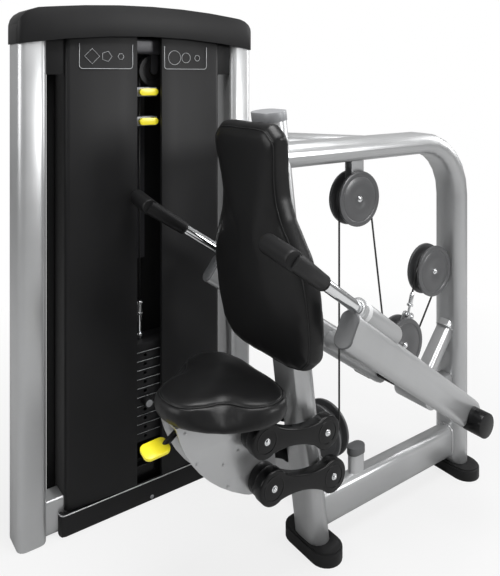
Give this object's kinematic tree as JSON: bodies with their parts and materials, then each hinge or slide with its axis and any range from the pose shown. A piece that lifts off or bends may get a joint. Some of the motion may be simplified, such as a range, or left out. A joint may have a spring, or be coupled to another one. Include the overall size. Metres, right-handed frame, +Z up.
{
  "type": "seated dip machine",
  "caption": "Seated dip machine: selectorised stack tower, leaning post with back pad, rising seat on twin links, pivoting press arms with swivel handles, cable over pulleys.",
  "frame": {"origin": "centre of the bounding box on the floor", "axes": "+Z up, the user faces -Y, +X towards the user's left, the stack tower at -X; the seat faces -Y"},
  "size_m": [0.8756, 1.3202, 1.49],
  "materials": {
    "frame_silver": "satin silver powder coat",
    "arm_silver": "satin silver coat over hollow tube",
    "steel_dark": "satin dark coat",
    "panel_black": "satin moulded black",
    "metal_black": "satin black powder coat",
    "plate_black": "fine textured black paint",
    "chrome": "polished",
    "rubber_black": "matt black",
    "grey": "satin grey",
    "pulley_grey": "satin dark grey nylon",
    "yellow": "glossy yellow",
    "upholstery": "smooth black upholstery",
    "cable_black": "black coated steel rope"
  },
  "bodies": {
    "frame": {"tower_column_front": "frame_silver", "tower_column_rear": "frame_silver", "tower_base_beam": "frame_silver", "tower_top_beam": "steel_dark", "tower_cap": "panel_black", "shroud_front_rear_side": "panel_black", "shroud_front_near_side": "panel_black", "shroud_rear": "panel_black", "kick_panel": "panel_black", "guide_rod_near": "chrome", "guide_rod_rear": "chrome", "stack_bumper": "rubber_black", "weight_plate_07": "plate_black", "weight_plate_08": "plate_black", "weight_plate_09": "plate_black", "weight_plate_10": "plate_black", "front_post": "frame_silver", "post_cap": "grey", "base_beam": "frame_silver", "stop_bumper": "rubber_black", "main_tube": "frame_silver", "diagonal_tube": "frame_silver", "lateral_tube": "frame_silver", "brace_strut": "frame_silver", "front_boot": "rubber_black", "rear_boot": "rubber_black", "back_pad": "upholstery", "cable_drop": "cable_black", "cable_frame_run": "cable_black", "cable_front_run": "cable_black", "cable_rear_run": "cable_black"},
    "press_arm": {"press_arm_left": "arm_silver", "press_arm_right": "arm_silver", "pivot_shaft": "metal_black", "press_cross_tube": "arm_silver"},
    "lever_pulley": {"lever_pulley": "pulley_grey"},
    "handle_left": {"handle_left": "rubber_black"},
    "handle_right": {"handle_right": "rubber_black"},
    "lower_link": {"lower_link": "metal_black"},
    "upper_link": {"upper_link": "metal_black"},
    "seat": {"seat_bracket": "frame_silver", "seat_cushion": "upholstery"},
    "release_lever": {"release_lever": "yellow"},
    "carriage": {"head_plate": "plate_black", "weight_plate_01_lifted": "plate_black", "weight_plate_02_lifted": "plate_black", "weight_plate_03_lifted": "plate_black", "weight_plate_04_lifted": "plate_black", "weight_plate_05_lifted": "plate_black", "weight_plate_06_lifted": "plate_black"},
    "selector_pin": {"selector_pin": "panel_black"},
    "add_on_weight_upper": {"add_on_weight_upper": "grey"},
    "add_on_weight_lower": {"add_on_weight_lower": "grey"},
    "upper_pulley": {"upper_pulley": "pulley_grey"},
    "upright_pulley": {"upright_pulley": "pulley_grey"},
    "lower_pulley": {"lower_pulley": "pulley_grey"},
    "tower_pulley_rear": {"tower_pulley_rear": "pulley_grey"},
    "tower_pulley_middle": {"tower_pulley_middle": "pulley_grey"},
    "tower_pulley_base": {"tower_pulley_base": "pulley_grey"},
    "cable_end": {"cable_anchor_run": "cable_black"}
  },
  "joints": [
    {"name": "press_arm_swing", "type": "hinge", "parent": "frame", "child": "press_arm", "pos_m": [0.10118, 0.44015, 0.297], "axis": [1, 0, 0], "range_deg": [0, 28], "deforming": ["cable_front_run", "cable_rear_run"]},
    {"name": "handle_left_turn", "type": "hinge", "parent": "press_arm", "child": "handle_left", "pos_m": [0.41778, -0.32885, 0.91443], "axis": [-0.149, 0.8094, -0.568], "range_deg": [0, 180]},
    {"name": "handle_right_turn", "type": "hinge", "parent": "press_arm", "child": "handle_right", "pos_m": [-0.21542, -0.32885, 0.91443], "axis": [0.149, 0.8094, -0.568], "range_deg": [0, 180]},
    {"name": "seat_link_swing", "type": "hinge", "parent": "frame", "child": "lower_link", "pos_m": [0.10118, -0.00285, 0.241], "axis": [1, 0, 0], "range_deg": [0, 28]},
    {"name": "upper_link_swing", "type": "hinge", "parent": "frame", "child": "upper_link", "pos_m": [0.10118, -0.02485, 0.362], "axis": [1, 0, 0], "range_deg": [0, 28]},
    {"name": "seat_level", "type": "hinge", "parent": "lower_link", "child": "seat", "pos_m": [0.10118, -0.19885, 0.283], "axis": [1, 0, 0], "range_deg": [-28, 0]},
    {"name": "seat_release", "type": "hinge", "parent": "seat", "child": "release_lever", "pos_m": [0.10118, -0.40885, 0.454], "axis": [-1, 0, 0], "range_deg": [0, 12], "stiffness_Nm_per_rad": 1, "springref_deg": -11.46},
    {"name": "carriage_slide", "type": "slide", "parent": "frame", "child": "carriage", "axis": [0, 0, 1], "range_m": [0, 0.2365], "deforming": ["cable_drop"]},
    {"name": "selector_pin_slide", "type": "slide", "parent": "carriage", "child": "selector_pin", "axis": [1, 0, 0], "range_m": [0, 0.08]},
    {"name": "add_on_upper_slide", "type": "slide", "parent": "frame", "child": "add_on_weight_upper", "axis": [0, 0, -1], "range_m": [0, 0.05]},
    {"name": "add_on_lower_slide", "type": "slide", "parent": "frame", "child": "add_on_weight_lower", "axis": [0, 0, -1], "range_m": [0, 0.3]},
    {"name": "upper_pulley_turn", "type": "hinge", "parent": "frame", "child": "upper_pulley", "pos_m": [0.10118, 0.16715, 0.932], "axis": [1, 0, 0], "range_deg": [-227, 0]},
    {"name": "upright_pulley_turn", "type": "hinge", "parent": "frame", "child": "upright_pulley", "pos_m": [0.10118, 0.50015, 0.666], "axis": [1, 0, 0], "range_deg": [0, 93]},
    {"name": "lower_pulley_turn", "type": "hinge", "parent": "frame", "child": "lower_pulley", "pos_m": [0.04239, 0.09518, 0.261], "axis": [-0.1996, 0.9799, 0], "range_deg": [-227, 0]},
    {"name": "lever_pulley_turn", "type": "hinge", "parent": "press_arm", "child": "lever_pulley", "pos_m": [0.10118, 0.36015, 0.46676], "axis": [1, 0, 0], "range_deg": [0, 149]},
    {"name": "tower_pulley_base_turn", "type": "hinge", "parent": "frame", "child": "tower_pulley_base", "pos_m": [-0.34769, 0.01573, 0.244], "axis": [-0.1996, 0.9799, 0], "range_deg": [-316, 0]},
    {"name": "tower_pulley_rear_turn", "type": "hinge", "parent": "frame", "child": "tower_pulley_rear", "pos_m": [-0.38982, -0.03585, 1.2992], "axis": [1, 0, 0], "range_deg": [-316, 0]},
    {"name": "tower_pulley_middle_turn", "type": "hinge", "parent": "frame", "child": "tower_pulley_middle", "pos_m": [-0.38982, -0.22985, 1.2992], "axis": [1, 0, 0], "range_deg": [-316, 0]},
    {"name": "cable_end_slide", "type": "slide", "parent": "frame", "child": "cable_end", "axis": [0, -0.9151, -0.4033], "range_m": [0, 0.1203], "deforming": ["cable_anchor_run"]}
  ],
  "couplings": [
    {"joint": "carriage_slide", "follows": "press_arm_swing", "m_per_rad": 0.4829},
    {"joint": "upper_pulley_turn", "follows": "press_arm_swing", "ratio": -8.05},
    {"joint": "upright_pulley_turn", "follows": "press_arm_swing", "ratio": 3.271},
    {"joint": "lower_pulley_turn", "follows": "press_arm_swing", "ratio": -8.05},
    {"joint": "lever_pulley_turn", "follows": "press_arm_swing", "ratio": 5.284},
    {"joint": "tower_pulley_base_turn", "follows": "press_arm_swing", "ratio": -11.23},
    {"joint": "tower_pulley_rear_turn", "follows": "press_arm_swing", "ratio": -11.23},
    {"joint": "tower_pulley_middle_turn", "follows": "press_arm_swing", "ratio": -11.23},
    {"joint": "cable_end_slide", "follows": "press_arm_swing", "m_per_rad": 0.2456},
    {"joint": "upper_link_swing", "follows": "seat_link_swing", "ratio": 1},
    {"joint": "seat_level", "follows": "seat_link_swing", "ratio": -1}
  ]
}
